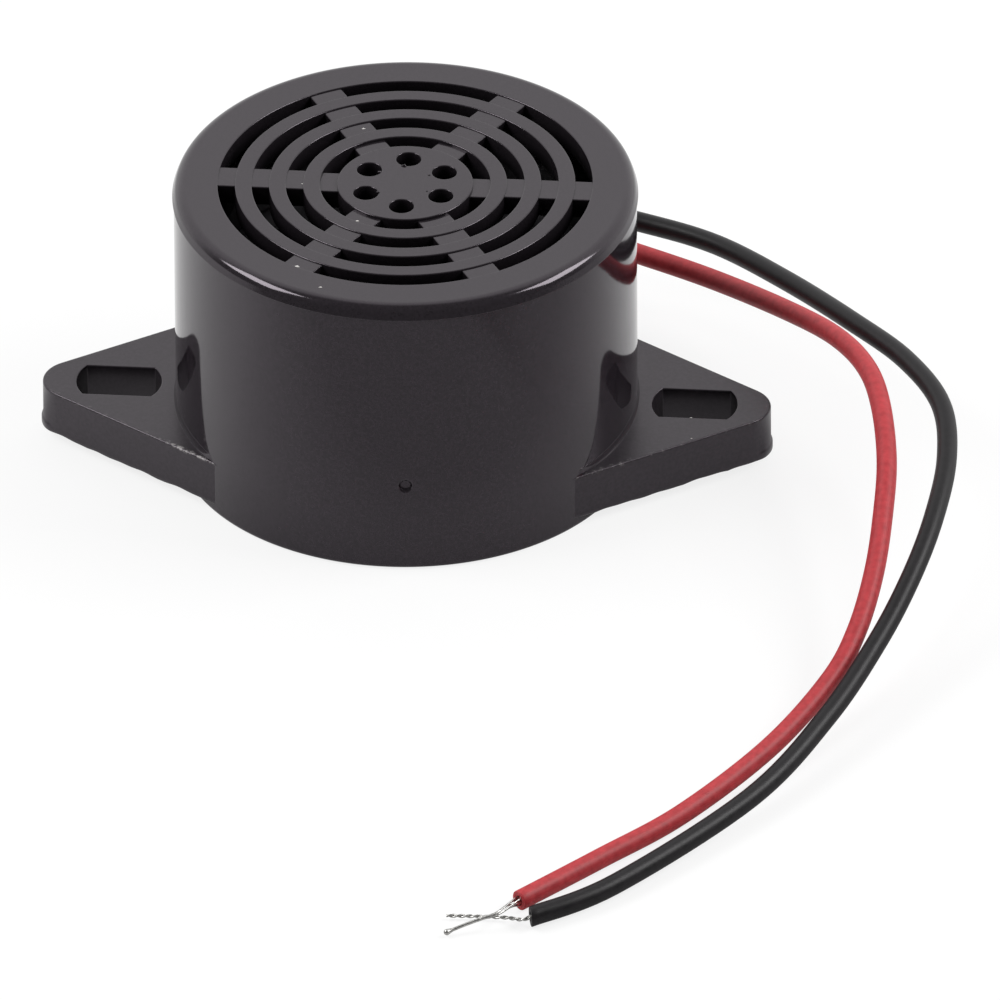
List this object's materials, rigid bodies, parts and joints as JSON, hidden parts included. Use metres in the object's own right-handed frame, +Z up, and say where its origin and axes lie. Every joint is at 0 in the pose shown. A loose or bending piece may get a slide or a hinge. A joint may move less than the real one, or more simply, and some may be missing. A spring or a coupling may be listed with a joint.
{
  "type": "panel buzzer",
  "caption": "Round black panel buzzer with two slotted screw ears, a slotted grille cover and a red and a black lead with stripped ends.",
  "frame": {"origin": "centre of the housing's base, on the surface that it stands on", "axes": "+Z up through the grille cover, X along both ears, +Y towards the back, where the leads leave the housing"},
  "size_m": [0.0548, 0.0715, 0.0182],
  "materials": {
    "housing_plastic": "gloss",
    "cover_plastic": "satin",
    "board_laminate": "satin",
    "part_epoxy": "matte",
    "diode_body": "gloss",
    "tinned_metal": "satin",
    "soft_iron": "satin",
    "bobbin_nylon": "satin",
    "enamelled_copper": "gloss",
    "hard_ferrite": "matte",
    "support_plastic": "satin",
    "diaphragm_steel": "satin",
    "red_insulation": "satin",
    "black_insulation": "satin"
  },
  "bodies": {
    "root": {"housing": "housing_plastic", "grille_cover": "cover_plastic", "drive_board": "board_laminate", "transistor": "part_epoxy", "base_resistor": "part_epoxy", "flyback_diode": "diode_body", "solder_joints": "tinned_metal", "yoke_plate": "soft_iron", "pole_core": "soft_iron", "coil_bobbin": "bobbin_nylon", "drive_coil": "enamelled_copper", "feedback_coil": "enamelled_copper", "ring_magnet": "hard_ferrite", "support_ring": "support_plastic", "diaphragm": "diaphragm_steel", "armature_disc": "diaphragm_steel", "red_lead": "red_insulation", "black_lead": "black_insulation", "red_bare_end": "tinned_metal", "black_bare_end": "tinned_metal"}
  },
  "joints": []
}
